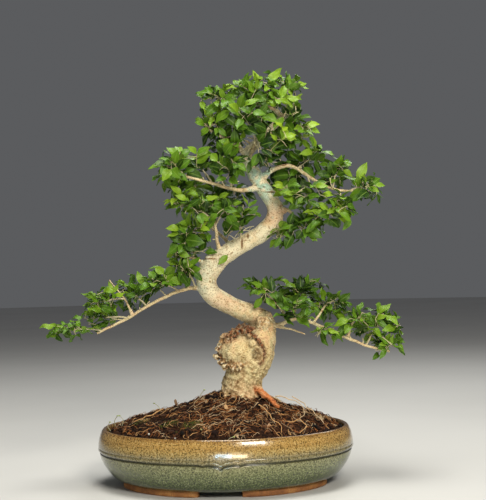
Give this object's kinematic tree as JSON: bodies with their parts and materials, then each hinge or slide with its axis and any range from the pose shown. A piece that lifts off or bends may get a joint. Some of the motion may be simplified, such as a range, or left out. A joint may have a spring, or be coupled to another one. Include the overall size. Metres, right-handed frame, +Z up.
{
  "type": "potted bonsai tree",
  "caption": "Chinese privet bonsai with a curved trunk, layered leafy branches and a mound of soil, in an oval glazed pot on low feet.",
  "frame": {"origin": "on the ground under the middle of the pot, which is the bottom centre of the whole object", "axes": "+Z up along the tree, +X along the pot's long side, -Y towards the front"},
  "size_m": [0.4079, 0.2318, 0.4816],
  "materials": {
    "glaze": "glossy speckled glaze, sage green on the body and ochre on the lip",
    "screen": "matte dark green mesh",
    "soil": "rough dark brown bark and fibre with fine roots",
    "bark": "smooth pale bark with lichen tint and a rough old burl",
    "leaf": "thin satin green leaves on pale green twigs"
  },
  "bodies": {
    "root": {"pot": "glaze", "drain_screen_left": "screen", "drain_screen_right": "screen", "soil": "soil", "trunk": "bark", "spray_left_tip": "leaf", "spray_left_outer": "leaf", "spray_left_stub": "leaf", "spray_left_middle": "leaf", "spray_left_inner": "leaf", "spray_left_root": "leaf", "spray_right_tip": "leaf", "spray_right_outer": "leaf", "spray_right_stub": "leaf", "spray_right_fork": "leaf", "spray_right_middle": "leaf", "spray_right_inner": "leaf", "spray_right_front": "leaf", "spray_right_under": "leaf", "spray_mid_left_tip": "leaf", "spray_mid_left_middle": "leaf", "spray_mid_left_root": "leaf", "spray_mid_left_under": "leaf", "spray_rise_left_tip": "leaf", "spray_rise_left_top": "leaf", "spray_rise_left_inner": "leaf", "spray_bend_left_tip": "leaf", "spray_bend_left_low": "leaf", "spray_left_back_tip": "leaf", "spray_mid_right_tip": "leaf", "spray_mid_right_outer": "leaf", "spray_mid_right_low": "leaf", "spray_mid_right_under": "leaf", "spray_mid_right_root": "leaf", "spray_nub_right_tip": "leaf", "spray_nub_right_low": "leaf", "spray_mid_back_tip": "leaf", "spray_crown_left_tip": "leaf", "spray_crown_left_root": "leaf", "spray_crown_top_left": "leaf", "spray_crown_top": "leaf", "spray_crown_tip": "leaf", "spray_crown_right": "leaf", "spray_crown_front": "leaf", "spray_crown_back": "leaf", "spray_crown_middle": "leaf", "spray_crown_low": "leaf"}
  },
  "joints": []
}
